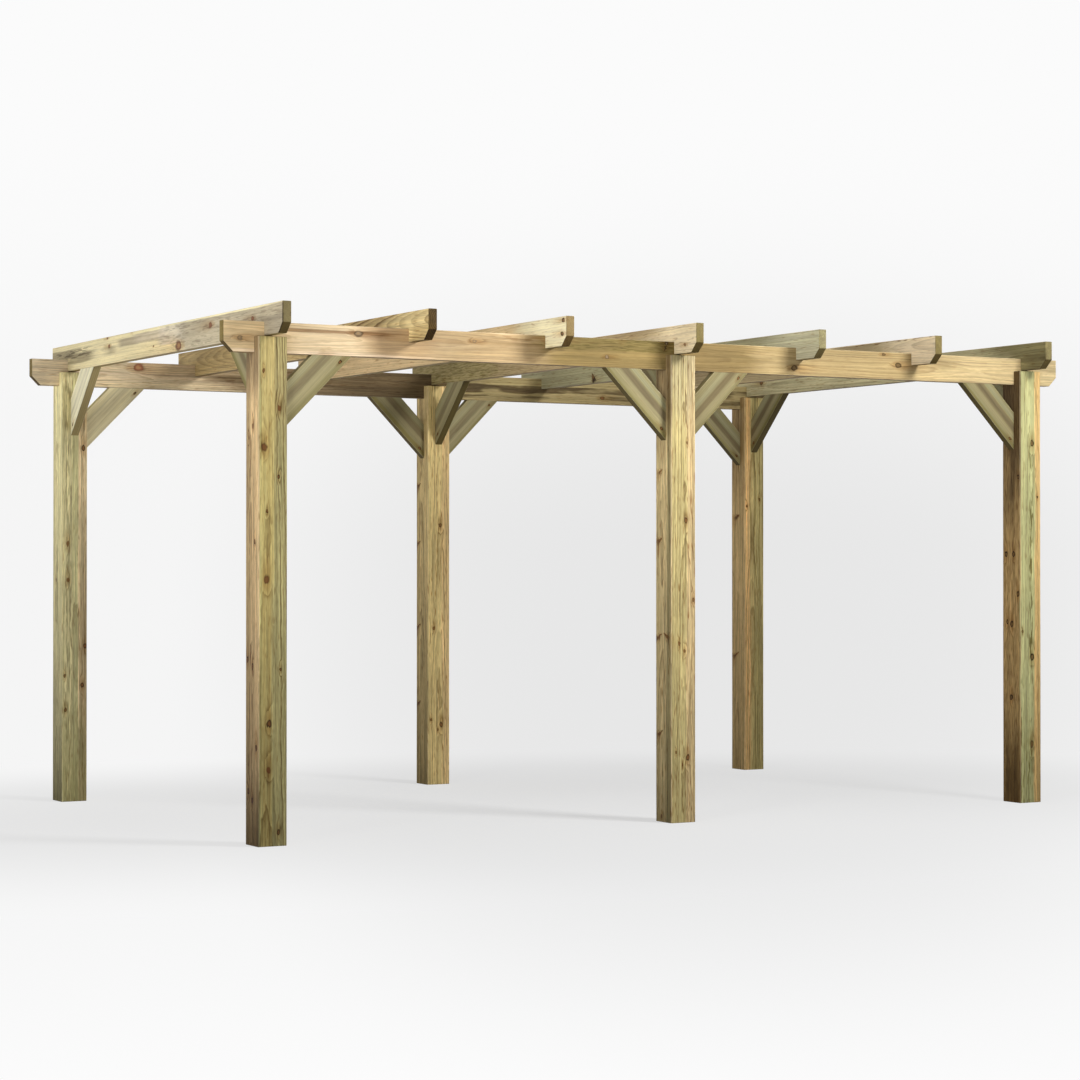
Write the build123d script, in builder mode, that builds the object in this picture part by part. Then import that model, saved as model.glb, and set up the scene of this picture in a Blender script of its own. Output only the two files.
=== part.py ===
"""A free-standing garden pergola of planed, pressure-treated softwood.

Two rows of square posts carry a long beam each, in a fork sawn into every post head. Rafters
notched over both beams cross from row to row, and mitred knee braces stiffen the corners.

X runs along the beams, Y across from the front row to the back row, and Z up. The origin is on
the floor in the middle of the plan. Lengths are in millimetres.
"""

import os

from build123d import *

# Plan: the spacing of the post centres along a row, and of the two rows
post_spacing = 2260
row_spacing = 2670
rafters_per_bay = 3

# Square posts with planed arrises
post_width = 145
post_arris = 4

# Beams: boards on edge, in two lengths that meet in the middle post's fork
beam_underside = 2288
beam_depth = 145
beam_thickness = 45
beam_overhang = 155
beam_end_chamfer = 50
beam_arris = 3
butt_gap = 1

# Rafters: boards on edge, notched down over the beams
rafter_depth = 145
rafter_thickness = 45
rafter_overhang = 155
rafter_end_chamfer = 48
rafter_notch_depth = 64
rafter_arris = 3

# Knee braces: short boards at 45 degrees, the reach being the longer leg of the mitred corner
brace_reach = 355
brace_width = 145
brace_thickness = 45
brace_arris = 3

# Clearances: beside a board in its fork or notch, and between a post head and the rafter over it
fit_clearance = 0.4
head_clearance = 7
cut_overrun = 20

# Levels and places that follow from the sizes above
beam_top = beam_underside + beam_depth
rafter_underside = beam_top - rafter_notch_depth
post_height = rafter_underside - head_clearance
fork_depth = post_height - beam_underside
fork_width = beam_thickness + 2 * fit_clearance
notch_width = beam_thickness + 2 * fit_clearance
beam_end = post_spacing + post_width / 2 + beam_overhang
beam_length = beam_end - butt_gap / 2
rafter_end = row_spacing / 2 + post_width / 2 + rafter_overhang
rafter_spacing = post_spacing / rafters_per_bay

ROWS = {"front": -row_spacing / 2, "back": row_spacing / 2}
PLACES = {"left": -post_spacing, "middle": 0, "right": post_spacing}
SIDES = {"left": -1, "right": 1}
UP = Vector(0, 0, 1)

os.makedirs("parts", exist_ok=True)


def write_piece(piece, name):
    """Label a finished piece and write it to its own file."""
    piece.label = name
    export_step(piece, f"parts/{name}.step")


def make_post(name, x, y):
    """A square post with an open fork across its head, in which the beam sits."""
    with BuildPart() as post:
        with BuildSketch(Plane((x, y, 0))):
            RectangleRounded(post_width, post_width, post_arris)
        extrude(amount=post_height)
        with BuildSketch(Plane((x, y, beam_underside))):
            Rectangle(post_width + 2 * cut_overrun, fork_width)
        extrude(amount=fork_depth + cut_overrun, mode=Mode.SUBTRACT)
    write_piece(post.part, name)


def make_beam(name, side, y):
    """One length of beam, from its chamfered free end to the middle of the row."""
    middle = beam_underside + beam_depth / 2
    with BuildPart() as beam:
        section = Plane((side * beam_end, y, middle), x_dir=(0, 1, 0), z_dir=(-side, 0, 0))
        with BuildSketch(section):
            RectangleRounded(beam_thickness, beam_depth, beam_arris)
        extrude(amount=beam_length)
        with BuildSketch(Plane((side * beam_end, y, beam_underside), x_dir=(-side, 0, 0), z_dir=(0, side, 0))):
            with BuildLine():
                Polyline((0, 0), (beam_end_chamfer, 0), (0, beam_end_chamfer), close=True)
            make_face()
        extrude(amount=beam_thickness, both=True, mode=Mode.SUBTRACT)
    write_piece(beam.part, name)


def make_rafter(name, x):
    """A rafter with a notch over each beam and both lower corners cut off at 45 degrees."""
    middle = rafter_underside + rafter_depth / 2
    with BuildPart() as rafter:
        section = Plane((x, -rafter_end, middle), x_dir=(1, 0, 0), z_dir=(0, 1, 0))
        with BuildSketch(section):
            RectangleRounded(rafter_thickness, rafter_depth, rafter_arris)
        extrude(amount=2 * rafter_end)
        for y in ROWS.values():
            with BuildSketch(Plane((x, y, beam_top))):
                Rectangle(rafter_thickness + 2 * cut_overrun, notch_width)
            extrude(amount=-(rafter_notch_depth + cut_overrun), mode=Mode.SUBTRACT)
        for side in SIDES.values():
            corner = Plane((x, side * rafter_end, rafter_underside), x_dir=(0, -side, 0), z_dir=(-side, 0, 0))
            with BuildSketch(corner):
                with BuildLine():
                    Polyline((0, 0), (rafter_end_chamfer, 0), (0, rafter_end_chamfer), close=True)
                make_face()
            extrude(amount=rafter_thickness, both=True, mode=Mode.SUBTRACT)
    write_piece(rafter.part, name)


def make_brace(name, corner, along):
    """A knee brace in the corner between a post face and the timber that it holds up.

    The board lies at 45 degrees, its lower edge cutting the corner at the reach on both legs, and
    it is mitred flush to the upright face and to the underside over it.
    """
    across = (along - UP).normalized()
    lengthwise = (along + UP).normalized()
    setback = brace_reach * across.dot(along) - brace_width / 2
    with BuildPart() as brace:
        with BuildSketch(Plane(corner + across * setback, x_dir=across, z_dir=lengthwise)):
            RectangleRounded(brace_width, brace_thickness, brace_arris)
        extrude(amount=brace_reach, both=True)
        split(bisect_by=Plane(corner, z_dir=along), keep=Keep.TOP)
        split(bisect_by=Plane(corner, z_dir=-UP), keep=Keep.TOP)
    write_piece(brace.part, name)


# Posts
for row, y in ROWS.items():
    for place, x in PLACES.items():
        make_post(f"post_{row}_{place}", x, y)

# Beams
for row, y in ROWS.items():
    for side_name, side in SIDES.items():
        make_beam(f"beam_{row}_{side_name}", side, y)

# Rafters, numbered from the left: one over every post and the others evenly between
rafter_count = rafters_per_bay * (len(PLACES) - 1) + 1
for index in range(rafter_count):
    make_rafter(f"rafter_{index + 1}", index * rafter_spacing - post_spacing)

# Braces under the beams: one inwards from each corner post and one each way from a middle post
for row, y in ROWS.items():
    for place, x in PLACES.items():
        for side_name, side in SIDES.items():
            if place == side_name:
                continue
            face = Vector(x + side * post_width / 2, y, beam_underside)
            make_brace(f"beam_brace_{row}_{place}_to_{side_name}", face, Vector(side, 0, 0))

# Braces under the rafters: one inwards from each post
for row, y in ROWS.items():
    inward = -1 if y > 0 else 1
    for place, x in PLACES.items():
        face = Vector(x, y + inward * post_width / 2, rafter_underside)
        make_brace(f"rafter_brace_{row}_{place}", face, Vector(0, inward, 0))
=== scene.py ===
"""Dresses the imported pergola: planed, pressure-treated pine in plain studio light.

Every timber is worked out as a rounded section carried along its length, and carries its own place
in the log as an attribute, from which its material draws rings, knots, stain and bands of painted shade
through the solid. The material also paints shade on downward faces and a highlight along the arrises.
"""

import logging
import math
from dataclasses import dataclass, field, replace
from enum import Enum
from typing import Any

import bpy
import numpy as np
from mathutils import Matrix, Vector


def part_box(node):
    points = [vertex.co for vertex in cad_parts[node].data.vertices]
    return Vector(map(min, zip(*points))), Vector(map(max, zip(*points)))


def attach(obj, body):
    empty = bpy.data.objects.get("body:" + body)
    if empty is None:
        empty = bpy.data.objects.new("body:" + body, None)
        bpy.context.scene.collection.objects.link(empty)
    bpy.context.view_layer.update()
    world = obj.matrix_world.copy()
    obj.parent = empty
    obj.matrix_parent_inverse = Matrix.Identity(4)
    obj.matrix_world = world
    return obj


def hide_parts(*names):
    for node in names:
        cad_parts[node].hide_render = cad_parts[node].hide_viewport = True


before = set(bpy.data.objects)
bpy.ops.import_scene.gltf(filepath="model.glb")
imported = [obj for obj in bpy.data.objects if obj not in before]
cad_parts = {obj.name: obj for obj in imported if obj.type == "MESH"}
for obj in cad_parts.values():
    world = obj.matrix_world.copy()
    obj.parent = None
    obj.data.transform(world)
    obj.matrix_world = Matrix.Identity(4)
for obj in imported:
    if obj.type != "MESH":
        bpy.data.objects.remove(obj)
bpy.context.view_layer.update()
LOG = logging.getLogger("pergola")

MM = 0.001
ROWS = ("front", "back")
PLACES = ("left", "middle", "right")

# Planed arrises, and the small bevel that the saw's edge wears to
ARRIS_STEPS = 4
END_BEVEL = 1.2 * MM
SAWN_ARRIS = 0.3 * MM
STEP_GAP = 0.4 * MM
STATION_SPACING = 110 * MM
FACE_SUPPORT = 3 * MM
SMOOTH_ANGLE = math.radians(30)

# Sockets of the colour Mix node, which shares its names with the other kinds of mix
MIX_A = 6
MIX_B = 7

# What a knot marks in the wood, and a place along a timber that lies past both its ends (millimetres)
KNOT_MASKS = ("Core", "Rim", "Halo", "Middle")
PAST_ENDS = 9000.0


def linear(hex_colour: str) -> tuple[float, ...]:
    """Turn an sRGB hex colour into linear light.

    Args:
        hex_colour: the colour as written, such as "#C9B684".

    Returns:
        Linear red, green, blue and an alpha of 1.
    """
    srgb = np.array([int(hex_colour[i : i + 2], 16) for i in (1, 3, 5)]) / 255
    light = np.where(srgb <= 0.04045, srgb / 12.92, ((srgb + 0.055) / 1.055) ** 2.4)
    return (*light.tolist(), 1.0)


def add_node(tree: bpy.types.NodeTree, kind: str, *inputs: Any, **settings: Any) -> Any:
    """Add a node with its settings, and link or set its inputs.

    Args:
        tree: the node tree that it goes into.
        kind: its type, without the words that all shader nodes start with, and its mode if it has one.
        inputs: in order, a value, a socket, or a node whose first output in use is meant. A dict gives
            inputs by name or number instead.
        settings: the node's other properties.

    Returns:
        The new node.
    """
    kind, _, mode = kind.partition(" ")
    node = tree.nodes.new(kind if kind.startswith("NodeGroup") else f"ShaderNode{kind}")
    if mode:
        setattr(node, "interpolation_type" if kind == "MapRange" else "operation", mode)
    for name, value in settings.items():
        setattr(node, name, value)
    for number, given in enumerate(inputs):
        for key, source in (given if isinstance(given, dict) else {number: given}).items():
            if isinstance(source, bpy.types.Node):
                source = next(out for out in source.outputs if out.enabled)
            if isinstance(source, bpy.types.NodeSocket):
                tree.links.new(source, node.inputs[key])
            else:
                node.inputs[key].default_value = source
    return node


def layered(tree: bpy.types.NodeTree, colour: Any, layers: list[tuple[Any, str]], blend: str = "MIX") -> Any:
    """Lay tints over a colour, one after another.

    Args:
        tree: the node tree.
        colour: the colour underneath.
        layers: each tint's share, and its hex value.
        blend: how the tints are laid on.

    Returns:
        The colour on top.
    """
    for share, tint in layers:
        links = {0: share, MIX_A: colour, MIX_B: linear(tint)}
        colour = add_node(tree, "Mix", links, data_type="RGBA", blend_type=blend)
    return colour


class Face(Enum):
    """A long face of a timber: the axis of its section that it faces along, and which way.

    On a post LOW is the left face, HIGH the right, NEAR the front and FAR the back. On a board LOW is the
    underside, HIGH the top, and NEAR the wide face turned to the front or to the left.
    """

    HIGH = (0, 1)
    FAR = (1, 1)
    LOW = (0, -1)
    NEAR = (1, -1)


# Extra points on a face, in rising order: the place across and the depth below the face, over the stations
Marks = dict[Face, list[tuple[np.ndarray, np.ndarray]]]


@dataclass(frozen=True)
class Knot:
    """Where a branch shows on a face (millimetres): along the timber, across the face, and how wide.

    Dark is how black its bark rim is and pale how light its middle. A spike knot lies in the face: its
    branch runs from its place that far across the face, and drops as it goes.
    """

    face: Face
    along: float
    across: float
    width: float
    dark: float = 0.5
    pale: float = 0.0
    spike: float = 0.0


@dataclass(frozen=True)
class Stripe:
    """A lengthwise band of another colour on one face (millimetres). Most are the wood's own colour, and
    some are painted shade.

    It lies between two places across the face and two along it, with soft edges that stray sideways. A
    patchy one is broken up by the clouds in the wood, and a flecked one into short strokes.
    """

    face: Face
    colour: str
    strength: float
    low: float = -80.0
    high: float = 80.0
    soft: float = 8.0
    start: float = -PAST_ENDS
    end: float = PAST_ENDS
    fade: float = 200.0
    stray: float = 14.0
    patchy: float = 0.0
    flecked: float = 0.0


@dataclass(frozen=True)
class Check:
    """A drying crack along a face (millimetres): its start and end, its place across, width and depth."""

    face: Face
    start: float
    end: float
    across: float
    width: float = 3.0
    depth: float = 12.0


@dataclass(frozen=True)
class Tints:
    """The colours of one timber: heartwood, sapwood, and sapwood that took up more of the treatment.

    Latewood, flecks and sawn ends are multiplied over these; knots and their rims are mixed in.
    """

    heart: str
    sap: str
    treated: str
    end: str = "#9B9378"
    late: str = "#7E6236"
    fleck: str = "#A87A44"
    knot: str = "#6E4420"
    rim: str = "#24160A"


@dataclass(frozen=True)
class Figure:
    """How one timber lay in its log, and what shows on it (millimetres).

    The pith is where the log's middle runs, from the middle of the section. Rings show every pitch; waves,
    burl and ripples bend them, and the taper crosses them slowly with the faces. From the calm place on
    along the timber they show less. The values from late on are strengths.
    """

    tints: Tints
    pith: tuple[float, float]
    heart: float = 20.0
    pitch: float = 7.0
    wander: float = 10.0
    wave: float = 5.0
    burl: float = 0.7
    ripple: float = 2.0
    taper: float = 0.01
    calm: float = PAST_ENDS
    late: float = 0.5
    fleck: float = 0.45
    fibre: float = 0.25
    streak: float = 0.24
    blotch: float = 0.12
    stripes: tuple[Stripe, ...] = ()
    knots: tuple[Knot, ...] = ()
    checks: tuple[Check, ...] = ()
    strays: int = 6


@dataclass
class Section:
    """A timber's section at every station along it, as arrays over the stations (metres)."""

    along: np.ndarray
    low: np.ndarray
    high: np.ndarray
    half: np.ndarray
    round_low: np.ndarray
    round_high: np.ndarray

    def loops(self, marks: Marks) -> tuple[np.ndarray, np.ndarray, dict[Face, int]]:
        """Points round the section at every station, anticlockwise from the lower end of the high face.

        Formula: four straight faces, each with a support point just inside both arrises and the given marks
        between them, joined by four quarter circles about centres one radius in from both faces.

        Args:
            marks: the extra points on each face.

        Returns:
            Points (stations, points, 2), a flag per point that is 1 in the middle of an arris, and the
            number of the first point on each face.
        """
        turn = np.linspace(0, math.pi / 2, ARRIS_STEPS + 1)
        cos, sin = np.cos(turn), np.sin(turn)
        # The arris after each face: its arc from its centre, and its corner of the section
        arrises = {
            Face.HIGH: (cos, sin, 1, 1),
            Face.FAR: (-sin, cos, -1, 1),
            Face.LOW: (-cos, -sin, -1, -1),
            Face.NEAR: (sin, -cos, 1, -1),
        }
        edges = {1: (self.high, self.round_high), -1: (self.low, self.round_low)}
        parts, flags, first = [], [], {}
        count = 0
        for face, (arc_u, arc_v, corner_u, corner_v) in arrises.items():
            axis, sign = face.value
            if axis == 0:
                level, radius = edges[sign]
                start, end = radius - self.half, self.half - radius
            else:
                level = sign * self.half
                start, end = self.low + self.round_low, self.high - self.round_high
            supports = (start + FACE_SUPPORT, 0 * start), (end - FACE_SUPPORT, 0 * end)
            points = [supports[0], *marks.get(face, []), supports[1]]
            if face in (Face.FAR, Face.LOW):
                points = points[::-1]
            place = np.stack([across for across, _ in points], 1)
            depth = level[:, None] - sign * np.stack([below for _, below in points], 1)
            parts.append(np.stack((depth, place) if axis == 0 else (place, depth), 2))
            flags.append(np.zeros(len(points)))
            edge, radius = (value[:, None] for value in edges[corner_u])
            middle_u = edge - corner_u * radius
            middle_v = corner_v * (self.half[:, None] - radius)
            parts.append(np.stack((middle_u + radius * arc_u, middle_v + radius * arc_v), 2))
            flags.append(np.sin(2 * turn))
            first[face] = count
            count += len(points) + len(turn)
        return np.concatenate(parts, 1), np.concatenate(flags), first


@dataclass
class Timber:
    """One piece: its name, where its own axes lie in the frame, and its worked-out surface.

    The section's own axes are u across the wide face or upwards, v through the thickness, and s along.
    """

    name: str
    figure: Figure
    origin: np.ndarray
    axes: np.ndarray
    section: Section
    seed: int
    flare: float = 0.0
    slot_half: float = 0.0
    slot_floor: float = 0.0

    def marks(self) -> Marks:
        """Extra points: a fork's lips, and for each drying crack two lips and a bottom.

        Formula: a crack opens and sinks along a half sine between its ends, and strays by two sines.

        Returns:
            The points on each face that has any.
        """
        found: Marks = {}
        along = self.section.along
        for check in sorted(self.figure.checks, key=lambda c: c.across):
            run = np.clip((along / MM - check.start) / (check.end - check.start), 0, 1)
            open_share = np.sin(math.pi * run) ** 0.6
            stray = 2.0 * np.sin(along * 31) + 1.3 * np.sin(along * 67 + 1)
            middle = (check.across + stray) * MM
            lip = np.maximum(0.15, check.width / 2 * open_share) * MM
            sink = check.depth * open_share * MM
            found.setdefault(check.face, []).extend(
                ((middle - lip, 0 * sink), (middle, sink), (middle + lip, 0 * sink))
            )
        if self.slot_half:
            level = np.full(len(along), self.slot_half)
            for face in (Face.HIGH, Face.LOW):
                found[face] = [(-level, 0 * level), (level, 0 * level)]
        return found

    def surface(self) -> tuple[np.ndarray, list[list[int]], np.ndarray]:
        """Carry the section along the timber and close it.

        Formula: the point at station i and loop place j is (u, v, s), with s the station's own length,
        stretched in proportion to u where the ends are mitred. A fork leaves the faces between its two lips
        open above its floor, and has two walls, a floor and two tongue tops instead.

        Returns:
            Points (count, 3) in the timber's own axes, faces as lists of point numbers, and arris flags.
        """
        loops, flags, first = self.section.loops(self.marks())
        stations, around = loops.shape[:2]
        along = self.section.along[:, None] * (1 + self.flare * loops[:, :, 0])
        points = np.concatenate((loops, along[:, :, None]), 2).reshape(-1, 3)
        grid = np.arange(stations * around).reshape(stations, around)
        after = np.roll(grid, -1, 1)
        quads = np.stack((grid[:-1], after[:-1], after[1:], grid[1:]), 2)
        bottom, top = grid[0, ::-1].tolist(), grid[-1].tolist()
        flags = np.tile(flags, stations)
        if not self.slot_half:
            return points, [*quads.reshape(-1, 4).tolist(), bottom, top], flags
        floor = int(np.searchsorted(self.section.along, self.slot_floor - SAWN_ARRIS))
        a0, a1 = first[Face.HIGH] + 1, first[Face.HIGH] + 2
        b1, b0 = first[Face.LOW] + 1, first[Face.LOW] + 2
        kept = np.ones(quads.shape[:2], bool)
        kept[floor:, [a0, b1]] = False
        rise, over = grid[floor:-1], grid[floor + 1 :]
        far_wall = np.stack((rise[:, a1], over[:, a1], over[:, b1], rise[:, b1]), 1)
        near_wall = np.stack((rise[:, a0], rise[:, b0], over[:, b0], over[:, a0]), 1)
        faces = [
            *quads[kept].tolist(),
            *far_wall.tolist(),
            *near_wall.tolist(),
            grid[floor, [a0, a1, b1, b0]].tolist(),
            bottom,
            top[a1 : b1 + 1],
            [*top[b0:], *top[: a0 + 1]],
        ]
        return points, faces, flags

    def build(self) -> bpy.types.Object:
        """Put the surface into a mesh in the frame, with the attributes that its material reads.

        Returns:
            The new object, at the origin, with its place in its mesh.
        """
        points, faces, flags = self.surface()
        if np.linalg.det(self.axes) < 0:
            faces = [face[::-1] for face in faces]
        mesh = bpy.data.meshes.new(self.name)
        mesh.from_pydata((self.origin + points @ self.axes).tolist(), [], faces)
        grain = mesh.attributes.new("grain", "FLOAT_VECTOR", "POINT")
        grain.data.foreach_set("vector", points.astype(np.float32).ravel())
        arris = mesh.attributes.new("arris", "FLOAT", "POINT")
        arris.data.foreach_set("value", flags.astype(np.float32))
        mesh.polygons.foreach_set("use_smooth", np.ones(len(mesh.polygons), bool))
        mesh.set_sharp_from_angle(angle=SMOOTH_ANGLE)
        mesh.validate()
        piece = bpy.data.objects.new(self.name, mesh)
        bpy.context.scene.collection.objects.link(piece)
        return piece


def branch_knot_group() -> bpy.types.NodeTree:
    """A node group for one branch in the wood.

    Formula: the branch is a cone from its root through its place on the face. Its share is the distance from
    the cone's axis over the cone's radius there, or the length along it over its reach if that is more, so
    it is 1 at the knot's rim. Middle, core and rim are soft steps of it. The halo is a soft step of the same
    with the length along the grain counted for a fifth, so it runs with the grain.

    Returns:
        The group, which passes on the strongest of each mask so far.
    """
    tree = bpy.data.node_groups.new("branch knot", "ShaderNodeTree")
    sockets = {
        "Vector": ("Point", "Root", "Branch"),
        "Float": ("Slope", "Reach", "Dark", "Pale", *KNOT_MASKS),
    }
    for kind, names in sockets.items():
        for name in names:
            tree.interface.new_socket(name, in_out="INPUT", socket_type=f"NodeSocket{kind}")
    for name in KNOT_MASKS:
        tree.interface.new_socket(name, in_out="OUTPUT", socket_type="NodeSocketFloat")
    given = add_node(tree, "NodeGroupInput").outputs
    arm = add_node(tree, "VectorMath SUBTRACT", given["Point"], given["Root"])
    reach = add_node(tree, "VectorMath DOT_PRODUCT", arm, given["Branch"])
    axis = add_node(tree, "VectorMath SCALE", given["Branch"], {"Scale": reach})
    aside = add_node(tree, "VectorMath SUBTRACT", arm, axis)
    cone = add_node(tree, "Math MULTIPLY", reach, given["Slope"])
    radius = add_node(tree, "Math MAXIMUM", cone, 0.05 * MM)
    past = add_node(tree, "Math DIVIDE", reach, given["Reach"])
    shares = []
    for lengthwise in (0.66, 0.2):
        squeezed = add_node(tree, "VectorMath MULTIPLY", aside, (1.0, 1.0, lengthwise))
        away = add_node(tree, "VectorMath LENGTH", squeezed)
        share = add_node(tree, "Math DIVIDE", away, radius)
        shares.append(add_node(tree, "Math MAXIMUM", share, past))
    share, spread = shares
    off_rim = add_node(tree, "Math SUBTRACT", share, 0.92)
    rim_gap = add_node(tree, "Math ABSOLUTE", off_rim)
    steps = {
        "Core": (share, 0.75, 1.1, 1.0),
        "Rim": (rim_gap, 0.05, 0.4, given["Dark"]),
        "Halo": (spread, 0.6, 2.6, 1.0),
        "Middle": (share, 0.2, 0.6, given["Pale"]),
    }
    found = {}
    for name, step in steps.items():
        mask = add_node(tree, "MapRange SMOOTHSTEP", *step, 0.0)
        found[name] = add_node(tree, "Math MAXIMUM", mask, given[name])
    add_node(tree, "NodeGroupOutput", found)
    return tree


@dataclass
class TreatedPine:
    """Planed, pressure-treated pine: fast-grown rings, knots, and green where sapwood took up the salts.

    To the eye it is matt and slightly waxy along the latewood, cream to olive, with pinkish heartwood.
    """

    timber: Timber
    knot_group: bpy.types.NodeTree
    roughness: float = 0.62
    ior: float = 1.5
    specular_level: float = 0.12
    relief: float = 0.4 * MM
    branch_depth: float = 90 * MM
    branch_lean: float = 0.22
    spike_drop: float = 0.55

    def face_level(self, face: Face) -> float:
        """How far a face lies from the middle of the section, with its sign."""
        axis, sign = face.value
        section = self.timber.section
        return sign * float(section.high.max() if axis == 0 else section.half.max())

    def all_knots(self) -> list[Knot]:
        """The timber's own knots, and seeded ones for the faces that have none, so every side is finished.

        Returns:
            All knots of the timber.
        """
        rng = np.random.default_rng(700 + self.timber.seed)
        along = self.timber.section.along / MM
        given = list(self.timber.figure.knots)
        bare = [face for face in Face if face not in {knot.face for knot in given}]
        for number in range(self.timber.figure.strays if bare else 0):
            face = bare[number % len(bare)]
            half_width = abs(self.face_level(Face.FAR if face.value[0] == 0 else Face.HIGH)) / MM
            width = rng.uniform(10, 26) * (1.0 if half_width > 40 else 0.7)
            across = rng.uniform(-0.75, 0.75) * half_width
            place = rng.uniform(along.min() + 40, along.max() - 40)
            given.append(Knot(face, place, across, width, rng.uniform(0.3, 0.9)))
        return given

    def knots(self, tree: bpy.types.NodeTree, point: Any) -> dict[str, Any]:
        """Chain one group per knot, each with its branch's root and direction.

        Args:
            tree: the material's node tree.
            point: the place in the wood, a little unsteady.

        Returns:
            The masks of all knots together.
        """
        masks: dict[str, Any] = dict.fromkeys(KNOT_MASKS, 0.0)
        for knot in self.all_knots():
            axis, sign = knot.face.value
            place = np.zeros(3)
            place[[axis, 1 - axis, 2]] = self.face_level(knot.face), knot.across * MM, knot.along * MM
            root = place.copy()
            if knot.spike:
                place[1 - axis] += knot.spike * MM
                place[2] -= self.spike_drop * abs(knot.spike) * MM
            else:
                depth = min(self.branch_depth, 1.6 * abs(place[axis]))
                root[axis] -= sign * depth
                root[2] -= self.branch_lean * depth
            reach = np.linalg.norm(place - root)
            links = {
                "Point": point,
                "Root": tuple(root),
                "Branch": tuple((place - root) / reach),
                "Slope": knot.width * MM / 2 / reach,
                "Reach": 1.1 * reach if knot.spike else 10.0,
                "Dark": knot.dark,
                "Pale": knot.pale,
                **masks,
            }
            group = add_node(tree, "Group", links, node_tree=self.knot_group)
            masks = {name: group.outputs[name] for name in masks}
        return masks

    def patches(
        self, tree: bpy.types.NodeTree, place: Any, across: float, along: float, detail: float
    ) -> Any:
        """Noise whose patches are about so wide and so long.

        Args:
            tree: the material's node tree.
            place: the place in the wood.
            across: the patches' width, in millimetres.
            along: their length along the grain, in millimetres.
            detail: how much finer noise goes into it.

        Returns:
            The noise node.
        """
        scale = (1 / (across * MM), 1 / (across * MM), 1 / (along * MM))
        stretched = add_node(tree, "VectorMath MULTIPLY", place, scale)
        return add_node(tree, "TexNoise", {"Vector": stretched, "Scale": 1.0, "Detail": detail})

    def stripes(self, tree: bpy.types.NodeTree, colour: Any, place: Any, noises: dict[str, Any]) -> Any:
        """Lay the lengthwise bands over a colour.

        Formula: a band is a soft step up at its low side times one down at its high side, the same along the
        timber, and a step that is 1 only within a few millimetres of its own face. A patchy or flecked one
        is also thinned by a step of its noise.

        Args:
            tree: the material's node tree.
            colour: the colour so far.
            place: the separated place in the wood.
            noises: the waves, clouds and streaks that the band's sides follow, and the flecks.

        Returns:
            The colour with the bands.
        """
        layers = []
        for stripe in self.timber.figure.stripes:
            axis, sign = stripe.face.value
            level = self.face_level(stripe.face) / MM
            across, along = place[1 - axis], place[2]
            for noise, part in (("wave", 4.0), ("cloud", 2.4), ("streak", 2.0)):
                reach = part * stripe.stray * MM
                shift = add_node(tree, "Math MULTIPLY_ADD", noises[noise], reach, -reach / 2)
                across = add_node(tree, "Math ADD", across, shift)
            reach = 3 * stripe.fade * MM
            ragged = add_node(tree, "Math MULTIPLY_ADD", noises["cloud"], reach, -reach / 2)
            along = add_node(tree, "Math ADD", along, ragged)
            steps = [
                (across, stripe.low, stripe.soft),
                (across, stripe.high, -stripe.soft),
                (place[axis], level - sign * 6, sign * 3.0),
            ]
            if stripe.start > -PAST_ENDS:
                steps.append((along, stripe.start, stripe.fade))
            if stripe.end < PAST_ENDS:
                steps.append((along, stripe.end, -stripe.fade))
            if stripe.patchy:
                steps.append((noises["cloud"], (0.35 + 0.2 * stripe.patchy) / MM, 0.06 / MM))
            if stripe.flecked:
                steps.append((noises["fleck"], stripe.flecked / MM, 0.04 / MM))
            share: Any = stripe.strength
            for value, middle, soft in steps:
                ends = ((middle - soft) * MM, (middle + soft) * MM)
                step = add_node(tree, "MapRange SMOOTHSTEP", value, *ends, 0.0, 1.0)
                share = add_node(tree, "Math MULTIPLY", step, share)
            layers.append((share, stripe.colour))
        return layered(tree, colour, layers)

    def radius(self, tree: bpy.types.NodeTree, grain: Any, along: Any, start: float) -> Any:
        """The distance from the pith, which strays slowly along the log, by the wander either way.

        Args:
            tree: the material's node tree.
            grain: the place in the wood.
            along: the length along it.
            start: where in the noise the pith's stray begins.

        Returns:
            The distance, in metres.
        """
        figure = self.timber.figure
        at = add_node(tree, "Math MULTIPLY_ADD", along, 1.1, start)
        noise = {"W": at, "Scale": 1.0, "Detail": 1.0}
        stray = add_node(tree, "TexNoise", noise, noise_dimensions="1D").outputs["Color"]
        sway = figure.wander * MM
        middle = [value * MM - sway for value in figure.pith]
        pith = add_node(tree, "VectorMath MULTIPLY_ADD", stray, (2 * sway, 2 * sway, 0.0), (*middle, 0.0))
        arm = add_node(tree, "VectorMath SUBTRACT", grain, pith)
        flat = add_node(tree, "VectorMath MULTIPLY", arm, (1.0, 1.0, 0.0))
        return add_node(tree, "VectorMath LENGTH", flat)

    def latewood(self, tree: bpy.types.NodeTree, bends: list[tuple[Any, float]]) -> Any:
        """The dark part of each year's ring: it rises through the year, drops at its end, and varies by year.

        Args:
            tree: the material's node tree.
            bends: what adds up to the ring's radius, each as a value and its factor.

        Returns:
            How much latewood shows, from 0 to 1.
        """
        figure = self.timber.figure
        total: Any = 0.0
        for value, factor in bends:
            total = add_node(tree, "Math MULTIPLY_ADD", value, factor, total)
        count = add_node(tree, "Math DIVIDE", total, figure.pitch * MM)
        phase = add_node(tree, "Math FRACT", count)
        year = add_node(tree, "Math FLOOR", count)
        by_year = add_node(tree, "TexWhiteNoise", {"W": year}, noise_dimensions="1D").outputs["Value"]
        strength = add_node(tree, "MapRange", by_year, 0.0, 1.0, 0.25 * figure.late, 1.2 * figure.late)
        rise = add_node(tree, "Math POWER", phase, 1.9)
        drop = add_node(tree, "MapRange", phase, 0.9, 1.0, 1.0, 0.1)
        ring = add_node(tree, "Math MULTIPLY", rise, drop)
        return add_node(tree, "Math MULTIPLY", ring, strength, use_clamp=True)

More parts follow.
